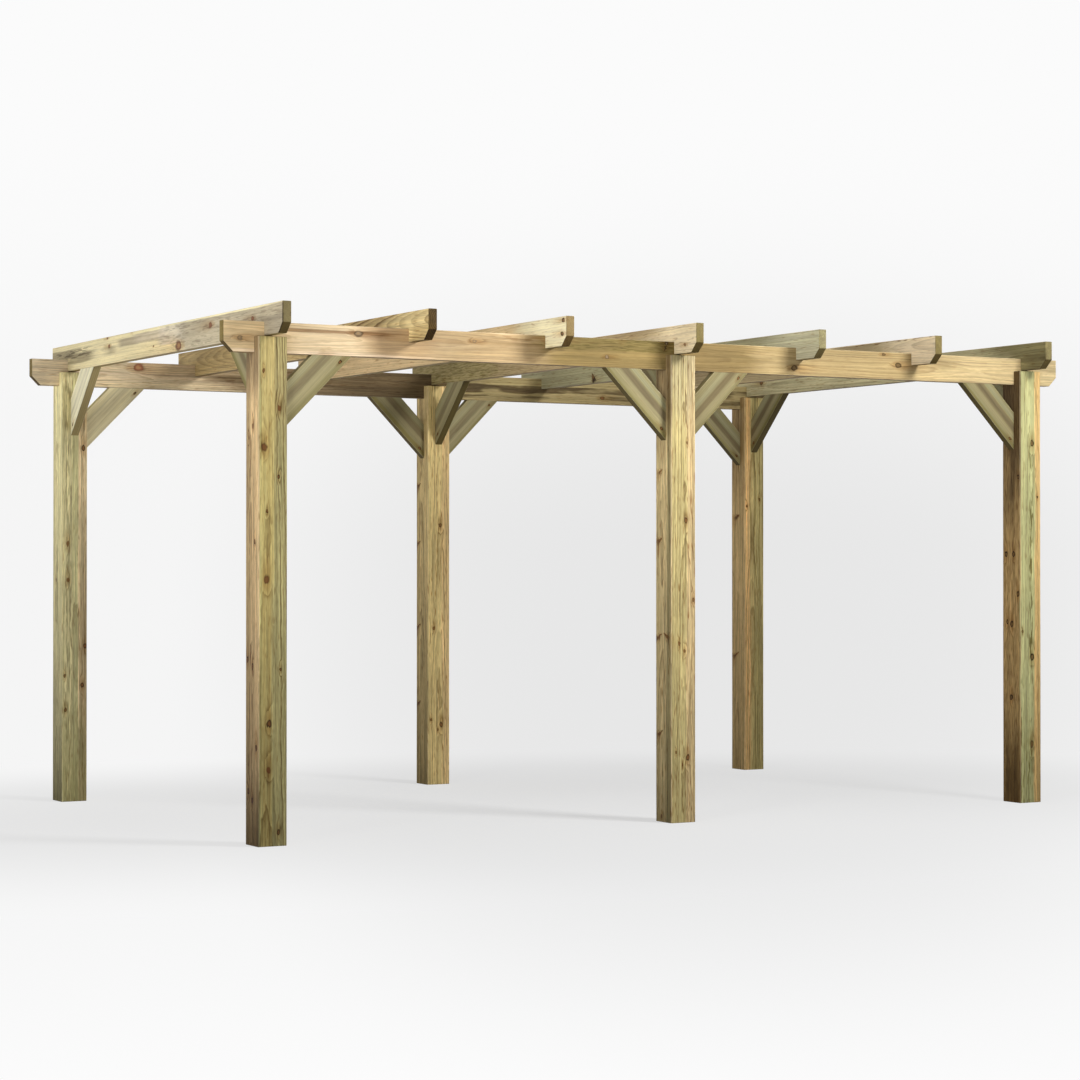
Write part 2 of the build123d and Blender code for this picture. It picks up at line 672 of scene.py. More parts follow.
    def wood_colour(self, tree: bpy.types.NodeTree, radius: Any, cloud: Any, streak: Any) -> Any:
        """Heartwood inside, then pale sapwood, then outer sapwood that took up the treatment in streaks.

        Args:
            tree: the material's node tree.
            radius: the distance from the pith.
            cloud: slow noise that makes the borders uneven.
            streak: long noise that carries the treatment along the grain.

        Returns:
            The colour.
        """
        tints = self.timber.figure.tints
        edge = (self.timber.figure.heart + 15) * MM
        uneven = add_node(tree, "Math MULTIPLY_ADD", cloud, 30 * MM, radius)
        heart = add_node(tree, "MapRange SMOOTHSTEP", uneven, edge - 7 * MM, edge + 7 * MM, 1.0, 0.0)
        uptake = add_node(tree, "MapRange", uneven, edge + 4 * MM, edge + 50 * MM, -0.9, -0.4)
        share = add_node(tree, "Math MULTIPLY_ADD", streak, 1.8, uptake, use_clamp=True)
        return layered(tree, linear(tints.sap), [(share, tints.treated), (heart, tints.heart)])

    def build(self) -> bpy.types.Material:
        """Make the material from the timber's place in its log.

        Returns:
            The finished material.
        """
        figure = self.timber.figure
        tints = figure.tints
        rng = np.random.default_rng(100 + self.timber.seed)
        material = bpy.data.materials.new(f"treated pine, planed: {self.timber.name}")
        material.use_nodes = True
        tree = material.node_tree
        tree.nodes.clear()

        grain = add_node(tree, "Attribute", attribute_name="grain").outputs["Vector"]
        place = add_node(tree, "SeparateXYZ", grain).outputs
        along = place[2]
        moved = add_node(tree, "VectorMath ADD", grain, tuple(rng.uniform(-9, 9, 3)))
        radius = self.radius(tree, grain, along, float(rng.uniform(0, 50)))

        # Unsteady growth, from slow waves to small ripples; clouds and streaks of colour; resin flecks.
        # Fibres and pores are under a millimetre wide, and drawn about 5 mm wide so that they show
        noises = {
            name: self.patches(tree, moved, across, length, detail)
            for name, across, length, detail in (
                ("wave", 150, 1500, 1.0),
                ("burl", 24, 110, 1.0),
                ("ripple", 11, 40, 1.0),
                ("cloud", 85, 380, 3.0),
                ("streak", 18, 1500, 3.0),
                ("fleck", 7, 70, 1.0),
                ("fibre", 5, 400, 2.0),
                ("pores", 4.5, 36, 1.0),
            )
        }
        around = noises["ripple"].outputs["Color"]
        stir = np.array((0.012, 0.012, 0.018))
        jitter = add_node(tree, "VectorMath MULTIPLY_ADD", around, tuple(stir), tuple(-stir / 2))
        unsteady = add_node(tree, "VectorMath ADD", grain, jitter)
        knots = self.knots(tree, unsteady.outputs["Vector"])

        # Rings go round each knot. They are a few millimetres apart, and drawn wide enough to show
        bends = [
            (radius, 1.0),
            (noises["wave"], 4 * figure.wave * MM),
            (noises["burl"], 4 * figure.burl * MM),
            (noises["ripple"], figure.ripple * MM),
            (along, figure.taper),
            (knots["Halo"], 0.9 * figure.pitch * MM),
        ]
        late = self.latewood(tree, bends)
        flame = add_node(tree, "MapRange", knots["Halo"], 0.0, 1.0, 0.85, 1.3)
        calm = ((figure.calm - 150) * MM, (figure.calm + 150) * MM)
        calmer = add_node(tree, "MapRange", along, *calm, 1.0, 0.4)
        for share in (flame, calmer):
            late = add_node(tree, "Math MULTIPLY", late, share, use_clamp=True)
        colour = self.wood_colour(tree, radius, noises["cloud"], noises["streak"])
        colour = self.stripes(tree, colour, place, noises)

        shade: Any = 1.0
        for name, strength in (
            ("fibre", figure.fibre),
            ("pores", 0.35 * figure.fibre),
            ("streak", figure.streak),
            ("cloud", figure.blotch),
        ):
            part = add_node(tree, "MapRange", noises[name], 0.28, 0.72, 1 - strength, 1 + strength)
            shade = add_node(tree, "Math MULTIPLY", part, shade)
        colour = add_node(tree, "VectorMath SCALE", colour, {"Scale": shade})

        # Resin streaks; warm wood round knots; sawn ends that drank in more treatment; and painted shade
        # on faces that look downwards, browner the more they face the floor
        fleck = add_node(tree, "MapRange", noises["fleck"], 0.6, 0.72, 0.0, figure.fleck)
        warm = add_node(tree, "Math MULTIPLY", knots["Halo"], 0.45)
        normal = add_node(tree, "NewGeometry").outputs["True Normal"]
        facing = add_node(tree, "VectorMath DOT_PRODUCT", normal, tuple(self.timber.axes[2].tolist()))
        squarely = add_node(tree, "Math ABSOLUTE", facing)
        sawn = add_node(tree, "MapRange", squarely, 0.4, 0.65, 0.0, 1.0)
        upright = add_node(tree, "SeparateXYZ", normal).outputs[2]
        # Painted shade: the more a face looks down, the more brown is multiplied in
        under = add_node(tree, "MapRange", upright, -0.35, -0.65, 0.0, 0.85)
        layers = [
            (late, tints.late),
            (fleck, tints.fleck),
            (warm, "#C8A064"),
            (sawn, tints.end),
            (under, "#94845E"),
        ]
        colour = layered(tree, colour, layers, "MULTIPLY")

        # A knot is resinous brown with a dark bark rim, some pale in the middle; arrises get a painted
        # highlight
        core = add_node(tree, "Math MULTIPLY", knots["Core"], 0.85)
        arris = add_node(tree, "Attribute", attribute_name="arris").outputs["Fac"]
        bare = add_node(tree, "MapRange", squarely, 0.4, 0.65, 0.22, 0.0)
        # Painted highlight: a pale line down the middle of each rounded arris, none on sawn ends
        arris_detail = add_node(tree, "Math MULTIPLY", arris, bare)
        layers = [
            (core, tints.knot),
            (knots["Middle"], "#B08A58"),
            (knots["Rim"], tints.rim),
            (arris_detail, "#E6D6B4"),
        ]
        colour = layered(tree, colour, layers)

        # Latewood stands a little proud of the planed face and is smoother
        height = add_node(tree, "Math MULTIPLY_ADD", noises["fibre"], 0.5, late)
        bump = add_node(tree, "Bump", {"Height": height, "Strength": 0.5, "Distance": self.relief})
        rough = add_node(tree, "MapRange", late, 0.0, 1.0, self.roughness + 0.06, self.roughness - 0.1)
        surface = {
            "Base Color": colour,
            "Roughness": rough,
            "IOR": self.ior,
            "Specular IOR Level": self.specular_level,
            "Normal": bump,
        }
        shader = add_node(tree, "BsdfPrincipled", surface)
        add_node(tree, "OutputMaterial", shader)
        return material


@dataclass
class TimberSet:
    """One kind of timber in the frame: the name of its slot, which is not used, and how its pieces are made
    and dressed.
    """

    slot: str
    arris: float
    first_seed: int
    figures: dict[str, Figure] = field(default_factory=dict)

    def names(self) -> list[str]:
        """The nodes that these timbers stand for."""
        return [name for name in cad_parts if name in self.figures]

    def timber(self, name: str, seed: int) -> Timber:
        """Work out one timber from its node's place; each kind has its own way."""
        raise NotImplementedError(name)

    def stations(self, low: float, high: float, extra: list[float]) -> np.ndarray:
        """Places along a timber: evenly spaced, with a bevel's width at each end and the given ones.

        Args:
            low: the lower end.
            high: the upper end.
            extra: further places, such as both sides of a step.

        Returns:
            The places in rising order (metres).
        """
        even = np.linspace(low, high, max(2, round((high - low) / STATION_SPACING)))
        places = np.concatenate((even, (low + END_BEVEL, high - END_BEVEL), extra))
        return np.unique(places.round(6))

    def inset(self, along: np.ndarray, low: float, high: float) -> np.ndarray:
        """How far the bevel at both ends takes the faces in: a bevel's width there, and none past it."""
        return np.clip(1 - np.minimum(along - low, high - along) / END_BEVEL, 0, 1) * END_BEVEL

    def arris_detail(self, along: np.ndarray, seed: int) -> np.ndarray:
        """An arris that varies a little along the timber: its radius times a sum of two slow sines."""
        return self.arris * (1 + 0.16 * np.sin(3.1 * along + seed) + 0.1 * np.sin(7.7 * along + 2 * seed))

    def board(self, name: str, seed: int, along: np.ndarray, rise: np.ndarray, sawn: np.ndarray) -> Timber:
        """A board on edge, carried along X or Y, whose underside rises and is sawn in places.

        Args:
            name: the board's node.
            seed: the number its seeded details come from.
            along: the stations.
            rise: how far the underside is cut up at each.
            sawn: where the underside's arrises are fresh from the saw.

        Returns:
            The board.
        """
        low, high = (np.array(corner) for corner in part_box(name))
        lengthwise = int(np.argmax(high - low))
        upright, through, run = np.eye(3)[[2, 1 - lengthwise, lengthwise]]
        depth, half = (high - low) @ upright / 2, (high - low) @ through / 2
        inset = self.inset(along, low @ run, high @ run)
        arris = self.arris_detail(along, seed)
        under = np.where(sawn, SAWN_ARRIS, arris)
        section = Section(along, rise - depth + inset, depth - inset, half - inset, under, arris)
        origin = (low + high) / 2 * (1 - run)
        axes = np.stack((upright, through, run))
        return Timber(f"{name}_timber", self.figures[name], origin, axes, section, seed)

    def build(self, knot_group: bpy.types.NodeTree) -> list[bpy.types.Object]:
        """Build and dress every timber of this kind.

        Args:
            knot_group: the node group for a branch.

        Returns:
            The finished pieces.
        """
        pieces = []
        for number, name in enumerate(self.names()):
            timber = self.timber(name, self.first_seed + number)
            piece = timber.build()
            piece.data.materials.append(TreatedPine(timber, knot_group).build())
            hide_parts(name)
            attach(piece, "root")
            LOG.info("%s: %d faces", piece.name, len(piece.data.polygons))
            pieces.append(piece)
        return pieces


@dataclass
class Posts(TimberSet):
    """Six square posts, each with an open fork across its head for the beam."""

    fork_clearance: float = 0.4 * MM

    def timber(self, name: str, seed: int) -> Timber:
        """A square section carried upwards, with the fork's lips marked on the left and right faces.

        Args:
            name: the post's node.
            seed: the number its seeded details come from.

        Returns:
            The post.
        """
        low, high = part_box(name)
        row = name.split("_")[1]
        beam_low, beam_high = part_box(f"beam_{row}_left")
        half = (high.x - low.x) / 2
        floor = beam_low.z
        along = self.stations(low.z, high.z, [floor, floor - STEP_GAP])
        side = half - self.inset(along, low.z, high.z)
        arris = self.arris_detail(along, seed)
        section = Section(along, -side, side, side, arris, arris)
        origin = np.array(((low.x + high.x) / 2, (low.y + high.y) / 2, 0.0))
        slot = {"slot_half": (beam_high.y - beam_low.y) / 2 + self.fork_clearance, "slot_floor": floor}
        return Timber(f"{name}_timber", self.figures[name], origin, np.eye(3), section, seed, **slot)


@dataclass
class Beams(TimberSet):
    """Four lengths of beam on edge, each with the lower corner of its free end cut off at 45 degrees."""

    chamfer: float = 50 * MM

    def timber(self, name: str, seed: int) -> Timber:
        """A board along X, its underside rising to the chamfer at the free end.

        Args:
            name: the beam's node.
            seed: the number its seeded details come from.

        Returns:
            The length of beam.
        """
        low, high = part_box(name)
        free, inward = (low.x, 1) if low.x + high.x < 0 else (high.x, -1)
        corner = free + inward * self.chamfer
        along = self.stations(low.x, high.x, [corner, corner + inward * STEP_GAP])
        from_free = np.abs(along - free)
        rise = np.clip(self.chamfer - from_free, 0, None)
        return self.board(name, seed, along, rise, from_free < self.chamfer + STEP_GAP / 2)


@dataclass
class Rafters(TimberSet):
    """Seven rafters on edge, notched over both beams, with both lower end corners cut off at 45 degrees."""

    chamfer: float = 48 * MM
    notch_clearance: float = 0.4 * MM

    def timber(self, name: str, seed: int) -> Timber:
        """A board along Y, its underside stepping up over each beam and rising at each end.

        Args:
            name: the rafter's node.
            seed: the number its seeded details come from.

        Returns:
            The rafter.
        """
        low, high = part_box(name)
        path = [(low.y, self.chamfer), (low.y + self.chamfer, 0.0)]
        for row in ROWS:
            beam_low, beam_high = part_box(f"beam_{row}_left")
            start, end = beam_low.y - self.notch_clearance, beam_high.y + self.notch_clearance
            notch = beam_high.z - low.z
            path += [(start - STEP_GAP, 0.0), (start, notch), (end, notch), (end + STEP_GAP, 0.0)]
        path += [(high.y - self.chamfer, 0.0), (high.y, self.chamfer)]
        turns, rises = np.array(path).T
        along = self.stations(low.y, high.y, turns.tolist())
        rise = np.interp(along, turns, rises)
        return self.board(name, seed, along, rise, rise > SAWN_ARRIS)


@dataclass
class Braces(TimberSet):
    """Fourteen mitred knee braces, under the beams and under the rafters."""

    width: float = 145 * MM

    def direction(self, name: str) -> np.ndarray:
        """Which way a brace leads away from its post."""
        words = name.split("_")
        if words[0] == "beam":
            return np.array((1.0 if words[-1] == "right" else -1.0, 0.0, 0.0))
        return np.array((0.0, 1.0 if words[2] == "front" else -1.0, 0.0))

    def timber(self, name: str, seed: int) -> Timber:
        """A board's section carried along the diagonal, its length growing from the inner to the outer edge.

        Args:
            name: the brace's node.
            seed: the number its seeded details come from.

        Returns:
            The brace.
        """
        low, high = (np.array(corner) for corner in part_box(name))
        away = self.direction(name)
        size = high - low
        reach = float(abs(size @ away))
        side = np.array((abs(away[1]), abs(away[0]), 0.0))
        half = float(size @ side) / 2
        post_side = np.where(away > 0, low, np.where(away < 0, high, (low + high) / 2))
        corner = np.array((post_side[0], post_side[1], high[2]))
        up = np.array((0.0, 0.0, 1.0))
        across = (away - up) / math.sqrt(2)
        lengthwise = (away + up) / math.sqrt(2)
        setback = reach / math.sqrt(2) - self.width / 2
        along = np.linspace(-setback, setback, 7)
        full = np.full(len(along), self.width / 2)
        arris = self.arris_detail(along, seed)
        section = Section(along, -full, full, 0 * full + half, arris, arris)
        origin = corner + across * setback
        axes = np.stack((across, side, lengthwise))
        return Timber(f"{name}_timber", self.figures[name], origin, axes, section, seed, 1 / setback)


class Stain(Enum):
    """Named sets of colours that the timbers are dressed in."""

    OCHRE_POST = Tints("#BCA263", "#BFA868", "#B2A870", knot="#62381A")
    CREAM_POST = Tints("#C4A979", "#C2B077", "#B8AB78")
    MINT_POST = Tints("#D4B070", "#CAC48A", "#BDBE88", knot="#6A4E28")
    OLIVE_POST = Tints("#E3CC99", "#EBDDA6", "#DAD19C")
    DUSKY_POST = Tints("#DAB47A", "#DFC587", "#CFBB80")
    TAN_POST = Tints("#E2BC7A", "#DEC484", "#BCAF76")
    ROSY_BEAM = Tints("#DDBF98", "#E8D0AC", "#DAC49A", "#8E8A62", knot="#86745A")
    GOLDEN_BEAM = Tints("#CAAC78", "#D4BC8E", "#C6B282", knot="#5E4A2C")
    SHADED_BEAM = Tints("#BAA07A", "#E5CFAC", "#D3C29A", "#8A845E", knot="#8A4E38")
    # The back beam's right length, darker partly as painted shade
    DARK_BEAM = Tints("#8C7A50", "#AE9C6E", "#A09062")
    CREAM_RAFTER = Tints("#CBB78E", "#F8ECBE", "#EEE2B2", "#7E7868", knot="#7C4B33", rim="#4A2016")
    BOLD_RAFTER = Tints("#DDBE88", "#E6D09A", "#DAC48C", "#655A46")
    PALE_RAFTER = Tints("#EEDAAC", "#FAEEC8", "#EEE4B8", "#8F816A")
    ROSY_RAFTER = Tints("#E2C69E", "#F0DCB8", "#E2D2A8", "#838063")
    GREEN_RAFTER = Tints("#CFC29E", "#D6CFB0", "#C6C4A0", "#A6A08C")
    DARK_RAFTER = Tints("#86774E", "#90865F", "#867F57", "#FCF8F2")
    BRACE = Tints("#796847", "#928B69", "#887D52")
    PALE_BRACE = Tints("#E8D2A2", "#FFF5CE", "#F2E8BA")


def knots_on(face: Face, *rows: tuple[float, ...]) -> tuple[Knot, ...]:
    """The knots of one face, each from what follows the face in Knot."""
    return tuple(Knot(face, *row) for row in rows)


def post_figures() -> dict[str, Figure]:
    """How each post was cut, what stains it, where its knots lie, and the painted shade at some heads and
    feet.
    """
    near, low = Face.NEAR, Face.LOW
    front_left = Figure(
        Stain.OCHRE_POST.value, (-30, 15), pitch=10, burl=2, ripple=4, late=1.1, fibre=0.34,
        stripes=(
            Stripe(near, "#A7A071", 0.75, 4, 80),
            Stripe(near, "#ACAD78", 0.7, -80, -62, soft=5, stray=4),
            Stripe(near, "#A08C60", 0.3, start=2000),
            Stripe(low, "#ECCC9A", 0.85),
            Stripe(low, "#AE966C", 0.65, 20, 80),
            # Painted shade: the left face darkens under the beam's end and the fork, and towards the floor
            Stripe(low, "#5E4C34", 0.7, start=2130, fade=140),
            Stripe(low, "#8C7048", 0.6, end=200, fade=350),
        ),
        knots=(
            *knots_on(near, (1846, -42, 25, 0.35), (1550, -29, 10, 0.8), (1233, -31, 28, 0.3)),
            *knots_on(near, (568, -17, 22, 0.8), (351, -20, 23, 0.15), (1712, 30, 13, 0.8)),
            *knots_on(near, (821, 39, 10, 0.8), (65, 29, 17, 0.8), (2202, -46, 12, 0.5), (2030, 31, 18, 0.1)),
            *knots_on(low, (1411, -29, 13, 0.9), (864, 50, 18, 0.9), (830, -6, 17, 0.9), (456, -49, 20, 0.8)),
            *knots_on(low, (248, 41, 18, 0.9), (211, -2, 17, 0.9), (1948, -8, 15, 0.5), (1892, 39, 12, 0.8)),
        ),
    )
    front_middle = Figure(
        Stain.CREAM_POST.value, (12, 10), burl=2, late=0.8, fleck=0.75, fibre=0.36,
        stripes=(
            Stripe(near, "#C6AD82", 0.7, 15, 80),
            Stripe(low, "#E0C996", 0.75),
            Stripe(low, "#958A60", 0.75, -66, -28, stray=8),
            # Painted shade: the left face darkens beside the brace under the beam, and the front face under
            # the rafter's end
            Stripe(low, "#6E5638", 0.75, start=1940, fade=160),
            Stripe(near, "#9A9070", 0.6, start=2150),
        ),
        knots=(
            *knots_on(near, (1525, 15, 18, 0.7), (1919, 23, 10, 0.6), (905, -26, 13, 0.4), (867, 8, 13, 0.2)),
            *knots_on(near, (355, -45, 10, 0.6), (291, -4, 10, 0.5), (328, 26, 20, 0.8), (1124, 60, 13, 0.6)),
            *knots_on(low, (1790, 2, 13, 0.25, 0, 40), (1445, 4, 15, 0.25, 0, 46), (958, 6, 15, 0.25, 0, 58)),
            *knots_on(low, (960, 4, 15, 0.25, 0, -46), (466, 2, 16, 0.25, 0, 50), (30, 19, 10, 0.6)),
        ),
        checks=(Check(near, 1129, 1433, 12),),
    )
    front_right = Figure(
        Stain.MINT_POST.value, (8, 15), burl=2.5, ripple=3, late=0.7, fibre=0.22,
        stripes=(
            Stripe(near, "#C0BE88", 0.7, -80, 14),
            Stripe(near, "#E8BC7A", 0.75, 34, 80),
            Stripe(near, "#77703C", 0.9, -8, 18, 5, start=700, end=1950, fade=150, stray=6, flecked=0.53),
            Stripe(near, "#6E6A3C", 0.85, -80, -58, soft=4, end=650, stray=5, flecked=0.52),
            Stripe(near, "#9A9658", 0.7, -50, 20, end=330, fade=120, flecked=0.54),
            Stripe(low, "#CCA56C", 0.85),
            Stripe(low, "#6A4A28", 0.42, flecked=0.54),
            # Painted shade: the left face darkens towards the floor and, beside the brace, towards the head
            Stripe(low, "#604620", 0.8, end=300, fade=300),
            Stripe(low, "#3A2A18", 0.85, start=1650, fade=420),
        ),
        knots=(
            *knots_on(near, (1967, 13, 22, 0.8), (1673, 50, 10, 0.9), (796, 11, 25, 0.9), (321, 10, 24, 0.5)),
            *knots_on(near, (937, -55, 10, 0.5)),
            *knots_on(low, (1782, -57, 15, 1), (1359, 45, 20, 1), (1359, -19, 20, 1), (1142, -55, 19, 1)),
            *knots_on(low, (987, 34, 18, 1), (977, -4, 22, 1), (576, 2, 19, 1), (1944, 19, 15, 1)),
        ),
    )
    back_left = Figure(
        Stain.OLIVE_POST.value, (15, 12), burl=2, ripple=3, late=0.6, fibre=0.34,
        stripes=(
            Stripe(near, "#D6BE94", 0.8, 22, 80, soft=5, stray=5),
            Stripe(near, "#9C8660", 0.6, 30, 80, end=1250, fade=300, stray=6),
            Stripe(near, "#BAB682", 0.6, -14, 20, soft=5, stray=5),
            Stripe(near, "#6E6840", 0.38, -56, -16, soft=5, stray=6, flecked=0.53),
            # Painted shade: the front face darkens towards the floor
            Stripe(near, "#9B935F", 0.7, end=350, fade=350),
            Stripe(low, "#E6DCA5", 0.7),
        ),
        knots=(
            *knots_on(near, (1417, -39, 20, 0.1), (1218, -37, 18, 0.1), (504, -52, 15, 0.6)),
            *knots_on(near, (691, -55, 12, 0.6), (639, 44, 17, 0.8), (854, 60, 17, 0.8), (1946, 51, 20, 0.8)),
            *knots_on(low, (1218, 20, 13, 0.5)),
        ),
    )
    back_middle = replace(
        front_middle,
        tints=Stain.DUSKY_POST.value,
        stripes=(Stripe(near, "#E6C68E", 0.6, 15, 80), Stripe(low, "#D0B883", 0.7)),
        knots=(
            *knots_on(near, (1535, 12, 18, 0.7), (926, -31, 15, 0.5), (382, -50, 12, 0.6)),
            *knots_on(near, (322, -5, 10, 0.5), (354, 16, 20, 0.8)),
            *knots_on(low, (1790, 8, 13, 0.4, 0, 40), (1448, 12, 14, 0.4, 0, 42), (955, 10, 15, 0.4, 0, 50)),
            *knots_on(low, (496, 12, 15, 0.4, 0, 42)),
        ),
    )
    back_right = Figure(
        Stain.TAN_POST.value, (-10, 5), late=0.85, fibre=0.38,
        stripes=(
            Stripe(near, "#F0C282", 0.72, -80, -28),
            Stripe(near, "#B6A76E", 0.8, 0, 80),
            Stripe(low, "#E2C18A", 0.7),
            # Painted shade: the left face darkens beside the brace towards the head
            Stripe(low, "#94784E", 0.6, start=1750, fade=250),
        ),
        knots=(
            *knots_on(low, (1624, -22, 15, 0.4, 0, 50), (748, -14, 16, 0.4, 0, 55)),
            *knots_on(near, (1673, -56, 12, 0.8), (1712, 42, 12, 0.8)),
        ),
    )
    rows = ((front_left, front_middle, front_right), (back_left, back_middle, back_right))
    return {
        f"post_{row}_{place}": figure
        for row, figures in zip(ROWS, rows)
        for place, figure in zip(PLACES, figures)
    }


def beam_figures() -> dict[str, Figure]:
    """How each length of beam was cut, what stains it, where its knots lie, and the painted shade on some."""
    near = Face.NEAR
    front_left = Figure(
        Stain.ROSY_BEAM.value, (10, 45), fleck=0.12, fibre=0.14, streak=0.16,
        stripes=(
            Stripe(near, "#DABF90", 0.8, end=-2180, fade=120),
            # Painted shadow of the second rafter's end, just left of it
            Stripe(near, "#B2926A", 0.75, start=-1760, end=-1400, fade=100),
            Stripe(near, "#8E6A44", 0.75, 30, 47, soft=4, start=-2230, end=-1560, fade=90, stray=4),
            Stripe(near, "#B08C60", 0.6, 16, 32, soft=6, start=-1560, end=-600, fade=250),
            Stripe(near, "#F0D8BC", 0.5, -80, -58, soft=5, stray=6),
            Stripe(near, "#B2966A", 0.8, start=-1450, fade=250),
            Stripe(near, "#887446", 0.95, start=-800, fade=160),
            Stripe(near, "#7E7040", 0.6, 6, 80, soft=6, start=-760, fade=100, patchy=0.2),
            Stripe(near, "#5E5228", 0.6, 4, 66, start=-800, fade=120, flecked=0.52),
            Stripe(near, "#9A7850", 0.6, 40, 66, soft=5, start=-1080, end=-560, stray=6, flecked=0.5),
        ),
        knots=(
            *knots_on(near, (-2404, -5, 20, 0.3, 0.6), (-1800, 38, 27, 0.55, 0.35)),
            *knots_on(near, (-1172, 28, 15, 0.15, 0.9), (-420, -20, 15, 0.5)),
        ),
    )
    front_right = Figure(
        Stain.GOLDEN_BEAM.value, (-10, 45), fleck=0.2, fibre=0.16, streak=0.18,
        stripes=(
            Stripe(near, "#867146", 0.95, end=650, fade=300),
            Stripe(near, "#978258", 0.77, start=650, end=1650, fade=300),
            Stripe(near, "#DCC898", 0.55, start=2330, fade=50),
        ),
        knots=knots_on(near, (718, -34, 24, 0.8), (1394, 5, 25, 0.7), (1299, 60, 13, 0.6)),
    )
    back_left = Figure(
        Stain.SHADED_BEAM.value, (-10, 30),
        stripes=(
            Stripe(near, "#F2DEBE", 0.5, end=-2150, fade=100),
            # Painted shade: from here inwards the back beam darkens over the whole face
            Stripe(near, "#7C694A", 0.87, start=-1430, fade=350),
            Stripe(near, "#6A583C", 0.8, -34, 14, soft=5, start=-1450, fade=300, stray=18, patchy=0.3),
            # Deeper painted shade towards the middle
            Stripe(near, "#64543A", 0.92, start=-660, fade=240),
        ),
        knots=knots_on(near, (-1872, 45, 42, 0.3, 0.7)),
    )
    back_right = Figure(
        # Its darker colours are partly painted shade; its bands are heartwood streaks
        Stain.DARK_BEAM.value, (5, 30),
        stripes=(
            Stripe(near, "#4E3E28", 0.85, -10, 30, soft=4, stray=22, patchy=0.35),
            Stripe(near, "#54452C", 0.7, -46, -26, soft=4, stray=20, patchy=0.45),
        ),
    )
    return {
        "beam_front_left": front_left,
        "beam_front_right": front_right,
        "beam_back_left": back_left,
        "beam_back_right": back_right,
    }


def rafter_figures() -> dict[str, Figure]:
    """How each rafter was cut, what stains it and where its knots lie, from left to right; most darken behind
    the front beam as painted shade.
    """
    near = Face.NEAR
    figures = (
        Figure(
            Stain.CREAM_RAFTER.value, (10, 30), 15, late=0.25, fleck=0.12, fibre=0.1, streak=0.12,
            stripes=(
                Stripe(near, "#766A52", 0.7, 4, 46, soft=6, start=1180, fade=130, stray=9),
                Stripe(near, "#766A52", 0.68, -30, 22, soft=6, start=920, end=1280, fade=120, stray=12),
                Stripe(near, "#453B2A", 0.6, 2, 40, soft=5, start=950, fade=150, flecked=0.53),
                Stripe(near, "#8E826A", 0.65, -22, 18, soft=9, start=590, end=720, fade=85),
                Stripe(near, "#ACA088", 0.75, 0, 40, soft=4, start=240, end=500, fade=60, stray=10),
                Stripe(near, "#C8BCA4", 0.8, 4, 52, soft=4, start=-120, end=300, fade=60, stray=10),
                Stripe(near, "#D9CDB7", 0.8, -22, 58, soft=4, start=-400, end=-40, fade=60, stray=10),
                Stripe(near, "#B2A58D", 0.85, -80, 62, soft=5, end=-330, fade=60, stray=10),
                Stripe(near, "#7E7460", 0.42, -60, 56, soft=6, end=-60, fade=250, flecked=0.57),
                Stripe(near, "#8E8472", 0.6, -80, 10, end=-1330, fade=80),
            ),
            knots=(
                *knots_on(near, (-310, -46, 46, 0.6, 0.6), (-718, 26, 26, 0.3), (695, 68, 15, 0.6)),
                *knots_on(near, (668, 20, 20, 0.3), (32, -24, 10, 0.8), (-1225, 16, 21, 0.4)),
            ),
        ),
        Figure(
            Stain.BOLD_RAFTER.value, (20, 50), 15, pitch=10, wander=4, wave=4, burl=0.6, taper=0.075,
            calm=-620, late=1.8, fibre=0.16,
            stripes=(
                # Painted shade on the part behind the front beam
                Stripe(near, "#A88E60", 0.7, start=-1150, fade=150),
                Stripe(near, "#AE9462", 0.6, -80, 0, end=-1390, fade=40),
            ),
        ),
        Figure(
            Stain.PALE_RAFTER.value, (0, 60), 15, late=0.4, fibre=0.1, streak=0.1,
            # Painted shade on the part behind the front beam
            stripes=(Stripe(near, "#D0B080", 0.8, start=-1150, fade=150),),
            knots=knots_on(near, (-1534, 53, 18, 1.0), (-1525, -12, 18, 1.0)),
        ),
        Figure(
            Stain.ROSY_RAFTER.value, (0, 55), 25, burl=2, ripple=5, late=0.6, fibre=0.12, streak=0.12,
            stripes=(
                # Painted shade on the part behind the front beam
                Stripe(near, "#AE9468", 0.8, start=-1150, fade=150),
                Stripe(near, "#94885A", 0.75, start=350, fade=450),
                Stripe(near, "#6E6438", 0.5, start=250, fade=450, flecked=0.51),
            ),
            knots=knots_on(near, (-1457, -30, 15, 0.2, 0.4)),
        ),
        Figure(
            Stain.GREEN_RAFTER.value, (-90, 40), fibre=0.16,
            # Painted shade on the part behind the front beam
            stripes=(Stripe(near, "#A29C76", 0.8, start=-1150, fade=150),),
            knots=knots_on(near, (715, -8, 26, 0.9, 0, -46)),
        ),
        Figure(
            Stain.ROSY_RAFTER.value, (20, 55), ripple=1.5, fleck=0.35, fibre=0.12, streak=0.15,
            stripes=(
                # Painted shade on the part behind the front beam
                Stripe(near, "#A08C64", 0.8, start=-1150, fade=150),
                Stripe(near, "#F2DEBC", 0.6, end=-1200, fade=150),
                Stripe(near, "#7A5230", 0.75, 60, 80, soft=4, end=-500, stray=3, flecked=0.58),
            ),
        ),
        Figure(
            Stain.DARK_RAFTER.value, (-20, 50), fibre=0.16,
            stripes=(
                Stripe(near, "#D4CA9F", 0.85, start=-1150),
                Stripe(near, "#6E6444", 0.7, -80, -10, end=-1400, fade=60),
            ),
        ),
    )
    return {f"rafter_{number}": figure for number, figure in enumerate(figures, 1)}


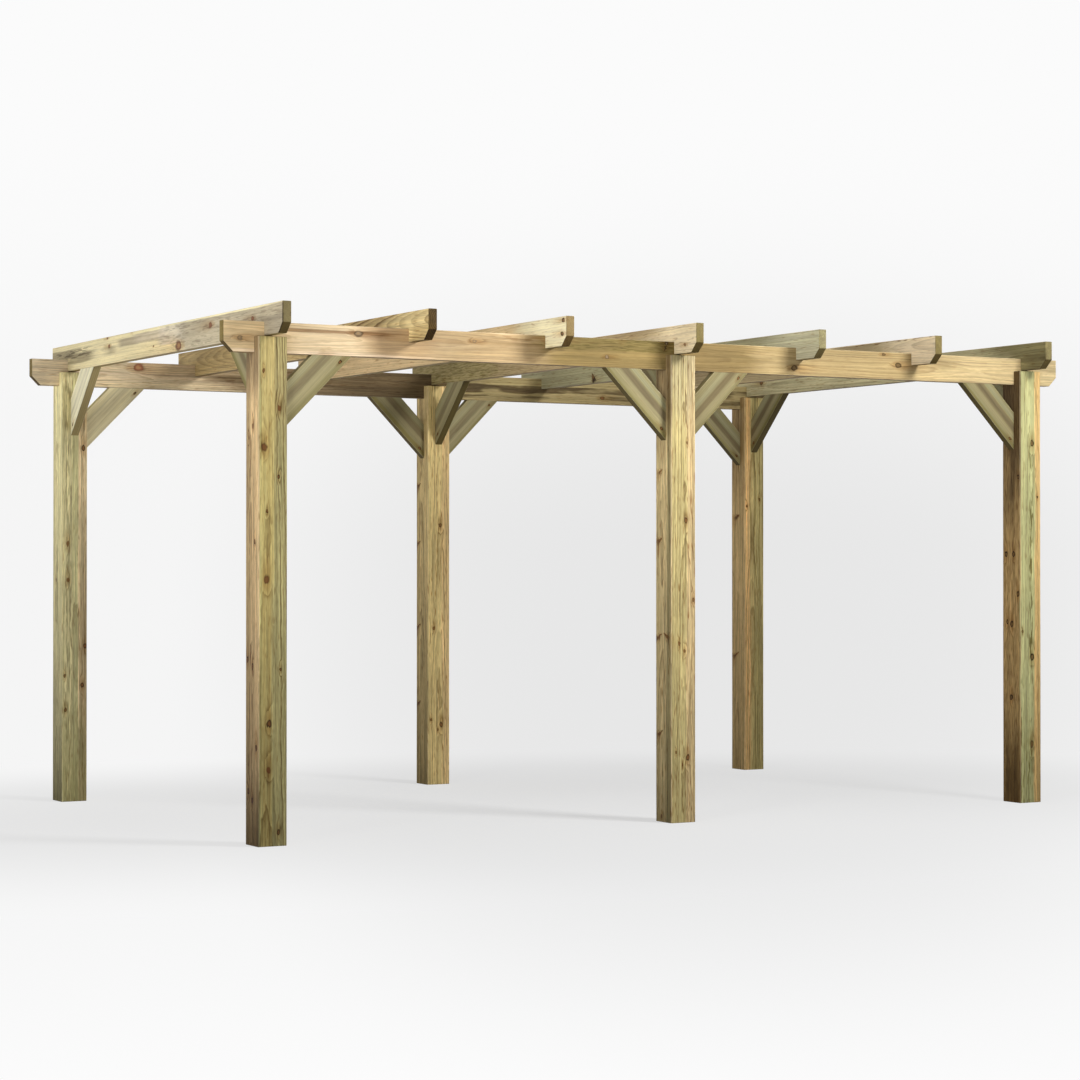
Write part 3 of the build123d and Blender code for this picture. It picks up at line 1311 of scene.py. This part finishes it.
def brace_figures() -> dict[str, Figure]:
    """Braces show brown heartwood down the middle, then cream, then green-tinged sapwood at both edges."""
    leads = ("left_to_right", "middle_to_left", "middle_to_right", "right_to_left")
    names = [f"beam_brace_{row}_{lead}" for row in ROWS for lead in leads]
    names += [f"rafter_brace_{row}_{place}" for row in ROWS for place in PLACES]
    bands = (
        ("#94906F", 0.75, -54, -30),
        ("#6A5C43", 0.8, -22, 14),
        ("#968C68", 0.7, 20, 40),
        ("#6E6536", 0.75, 58, 90),
    )
    deeper = ("#5C5030", 0.28, -90, 90)
    lighter = ("#B6AC84", 0.2, -90, 90)
    toned = {
        "beam_brace_back_left_to_right": ("#BFA878", 0.6, -90, 90),
        "rafter_brace_back_left": ("#FFFFE8", 0.6, -90, 90),
        "beam_brace_front_left_to_right": lighter,
        "beam_brace_front_middle_to_right": deeper,
        "beam_brace_back_middle_to_left": deeper,
        "beam_brace_back_middle_to_right": lighter,
        "rafter_brace_back_middle": lighter,
    }
    figures = {}
    for number, name in enumerate(names):
        # The heartwood's place across the board, in five steps, so that neighbours differ
        shift = 5.0 * ((number * 7) % 5 - 2)
        pale = name in ("beam_brace_back_left_to_right", "rafter_brace_back_left")
        share = 0.4 if pale else 1.0
        shown = [*bands, toned[name]] if name in toned else bands
        figures[name] = Figure(
            (Stain.PALE_BRACE if pale else Stain.BRACE).value, (shift, -60), 2,
            late=0.2, fleck=0.1, fibre=0.08, streak=0.12,
            stripes=tuple(
                Stripe(face, colour, strength * share, low + shift, high + shift, soft=9, stray=5)
                for face in (Face.NEAR, Face.FAR)
                for colour, strength, low, high in shown
            ),
            knots=knots_on(Face.NEAR, (190 if name.endswith("to_right") else -190, 50, 12, 0.9)),
            strays=0,
        )
    return figures


@dataclass(frozen=True)
class SoftBox:
    """A soft box: its middle and what it faces (metres), its size, power in watts and spread in degrees."""

    name: str
    place: tuple[float, float, float]
    aim: tuple[float, float, float]
    size: tuple[float, float]
    power: float
    spread: float = 180.0


@dataclass
class Studio:
    """A plain pale floor that runs out to a pale backdrop, soft lamps, and the photo's viewpoint (metres).

    The floor shows the object's shadow within an oval about its middle. It throws light up from further out,
    and more of it on the left, and on the right behind, than elsewhere.
    """

    floor_radius: float = 60.0
    horizon: str = "#F5F5F5"
    zenith: str = "#FBFBFB"
    front: str = "#FDFDFD"
    spot: str = "#E7E7E7"
    spot_direction: tuple[float, float, float] = (0.5500, 0.8346, -0.03)
    floor_middle: tuple[float, float, float] = (0.4, 0.0, 0.0)
    floor_stretch: tuple[float, float, float] = (0.667, 1.0, 1.0)
    floor_matt: str = "#959595"
    floor_dim: str = "#3C3C3C"
    floor_glow: float = 0.66
    floor_bounce: float = 0.6
    left_bounce: float = 1.7
    far_bounce: float = 2.6
    ambient: float = 0.18
    light: str = "#FFFFFF"
    camera_place: tuple[float, float, float] = (-7.2699, -12.6558, 1.3109)
    camera_yaw: float = 29.774
    camera_pitch: float = 0.5
    lens: float = 88.195
    lamps: tuple[SoftBox, ...] = (
        SoftBox("key softbox", (2.3, -5.4, 4.4), (-0.3, -1.2, 2.0), (1.6, 1.6), 100.0, 90.0),
        SoftBox("overhead softbox", (0.0, -1.0, 4.8), (0.0, -1.0, 0.0), (8.0, 7.0), 34.0),
        SoftBox("left softbox", (-7.0, -5.5, 4.4), (-0.5, -1.6, 2.7), (2.5, 2.5), 20.0, 45.0),
    )

    def backdrop_rays(self, tree: bpy.types.NodeTree) -> Any:
        """1 for rays that show the background: from the camera, off a gloss or through glass."""
        path = add_node(tree, "LightPath").outputs
        seen = add_node(tree, "Math MAXIMUM", path["Is Camera Ray"], path["Is Glossy Ray"])
        return add_node(tree, "Math MAXIMUM", seen, path["Is Transmission Ray"])

    def backdrop_colour(self, tree: bpy.types.NodeTree, direction: Any) -> Any:
        """The backdrop's grey in a direction: brighter upwards and in front, darkest in a soft spot behind.

        Args:
            tree: the node tree.
            direction: the direction from the viewpoint, of unit length.

        Returns:
            The colour.
        """
        height = add_node(tree, "SeparateXYZ", direction).outputs[2]
        near_spot = add_node(tree, "VectorMath DOT_PRODUCT", direction, self.spot_direction)
        layers = [
            (add_node(tree, "MapRange SMOOTHSTEP", value, start, end), shade)
            for value, start, end, shade in (
                (near_spot, 0.978, 1.0, self.spot),
                (height, 0.0, 0.17, self.zenith),
                (height, -0.09, -0.23, self.front),
            )
        ]
        return layered(tree, linear(self.horizon), layers)

    def build_world(self) -> None:
        """A pale backdrop to look at, and a dim even light for the object."""
        world = bpy.data.worlds.new("studio")
        bpy.context.scene.world = world
        world.use_nodes = True
        tree = world.node_tree
        tree.nodes.clear()
        direction = add_node(tree, "TexCoord").outputs["Generated"]
        shown = add_node(tree, "Background", self.backdrop_colour(tree, direction), 1.0)
        lit = add_node(tree, "Background", linear(self.light), self.ambient)
        mixed = add_node(tree, "MixShader", self.backdrop_rays(tree), lit, shown)
        add_node(tree, "OutputWorld", mixed)

    def build_floor(self) -> bpy.types.Object:
        """A round floor: circles about the middle, closer together near the object.

        Returns:
            The floor.
        """
        turn = np.linspace(0, 2 * math.pi, 96, endpoint=False)
        radii = self.floor_radius * np.linspace(0.05, 1, 12) ** 2
        x, y = radii[:, None] * np.cos(turn), radii[:, None] * np.sin(turn)
        points = np.stack((x, y, 0 * x), 2).reshape(-1, 3)
        grid = np.arange(len(points)).reshape(len(radii), len(turn))
        after = np.roll(grid, -1, 1)
        quads = np.stack((grid[:-1], grid[1:], after[1:], after[:-1]), 2).reshape(-1, 4)
        mesh = bpy.data.meshes.new("studio_floor")
        mesh.from_pydata(points.tolist(), [], [*quads.tolist(), grid[0].tolist()])
        floor = bpy.data.objects.new("studio_floor", mesh)
        bpy.context.scene.collection.objects.link(floor)
        mesh.materials.append(self.floor_material())
        return floor

    def floor_material(self) -> bpy.types.Material:
        """Matt studio vinyl: pale, with the object's soft shadow, running out into the backdrop's own grey.

        That grey is laid out on the floor from one fixed point, so it stays put in other views.

        Returns:
            The material.
        """
        material = bpy.data.materials.new("studio vinyl, matt")
        material.use_nodes = True
        tree = material.node_tree
        tree.nodes.clear()
        place = add_node(tree, "TexCoord").outputs["Object"]
        plan = add_node(tree, "SeparateXYZ", place).outputs
        away = add_node(tree, "VectorMath LENGTH", place)
        oval = {"Vector": place, "Location": self.floor_middle, "Scale": self.floor_stretch}
        out_from = add_node(tree, "VectorMath LENGTH", add_node(tree, "Mapping", oval))
        view = add_node(tree, "VectorMath SUBTRACT", place, self.camera_place)
        direction = add_node(tree, "VectorMath NORMALIZE", view)
        grey = self.backdrop_colour(tree, direction)
        out, around, left, right, behind = (
            add_node(tree, "MapRange SMOOTHSTEP", value, start, end, 0.0, most)
            for value, start, end, most in (
                (out_from, 0.6, 4.0, 1.0),
                (away, 3.0, 7.0, 1.0),
                (plan[0], -1.0, -7.0, self.left_bounce),
                (plan[0], 2.5, 5.0, self.far_bounce),
                (plan[1], -1.0, 3.0, 1.0),
            )
        )
        matt = add_node(tree, "BsdfDiffuse", linear(self.floor_matt))
        glow = add_node(tree, "Emission", grey, self.floor_glow)
        shown = add_node(tree, "AddShader", matt, glow)
        far = add_node(tree, "Emission", grey, 1.0)
        faded = add_node(tree, "MixShader", out, shown, far)
        dim = add_node(tree, "BsdfDiffuse", linear(self.floor_dim))
        level = add_node(tree, "Math ADD", left, self.floor_bounce)
        level = add_node(tree, "Math MULTIPLY_ADD", right, behind, level)
        bounce = add_node(tree, "Emission", linear(self.light), level)
        lit = add_node(tree, "MixShader", around, dim, bounce)
        mixed = add_node(tree, "MixShader", self.backdrop_rays(tree), lit, faded)
        add_node(tree, "OutputMaterial", mixed)
        return material

    def build_lamp(self, lamp_box: SoftBox) -> None:
        """Hang one soft box.

        Args:
            lamp_box: its name, place, aim, size, power and spread.
        """
        lamp = bpy.data.lights.new(lamp_box.name, "AREA")
        lamp.shape = "RECTANGLE"
        lamp.size, lamp.size_y = lamp_box.size
        lamp.energy = lamp_box.power
        lamp.spread = math.radians(lamp_box.spread)
        holder = bpy.data.objects.new(lamp_box.name, lamp)
        holder.location = lamp_box.place
        aim = Vector(lamp_box.aim) - Vector(lamp_box.place)
        holder.rotation_euler = aim.to_track_quat("-Z", "Y").to_euler()
        holder.visible_camera = False
        bpy.context.scene.collection.objects.link(holder)

    def build_camera(self) -> None:
        """The photograph's viewpoint, from the left in front at about chest height."""
        yaw, pitch = math.radians(self.camera_yaw), math.radians(self.camera_pitch)
        forward = Vector((math.sin(yaw) * math.cos(pitch), math.cos(yaw) * math.cos(pitch), math.sin(pitch)))
        camera = bpy.data.cameras.new("viewpoint")
        camera.lens = self.lens
        camera.sensor_width = 36.0
        camera.clip_end = 200.0
        holder = bpy.data.objects.new("viewpoint", camera)
        holder.location = self.camera_place
        holder.rotation_euler = forward.to_track_quat("-Z", "Y").to_euler()
        bpy.context.scene.collection.objects.link(holder)
        bpy.context.scene.camera = holder

    def build(self) -> None:
        """Set up the camera, the backdrop, the floor and the lamps."""
        bpy.context.scene.view_settings.view_transform = "Standard"
        self.build_camera()
        self.build_world()
        self.build_floor()
        for lamp_box in self.lamps:
            self.build_lamp(lamp_box)
        LOG.info("studio: floor, backdrop, %d soft boxes and the camera", len(self.lamps))


def main() -> None:
    """Build the timbers and the studio in order."""
    logging.basicConfig(level=logging.INFO, format="%(name)s: %(message)s")
    knot_group = branch_knot_group()
    sets: list[TimberSet] = [
        Posts("post_timber", 4 * MM, 10, post_figures()),
        Beams("beam_timber", 3 * MM, 30, beam_figures()),
        Rafters("rafter_timber", 3 * MM, 50, rafter_figures()),
        Braces("brace_timber", 3 * MM, 70, brace_figures()),
    ]
    for kind in sets:
        pieces = kind.build(knot_group)
        LOG.info("%s: %d pieces", type(kind).__name__, len(pieces))
    Studio().build()


if __name__ == "__main__":
    main()
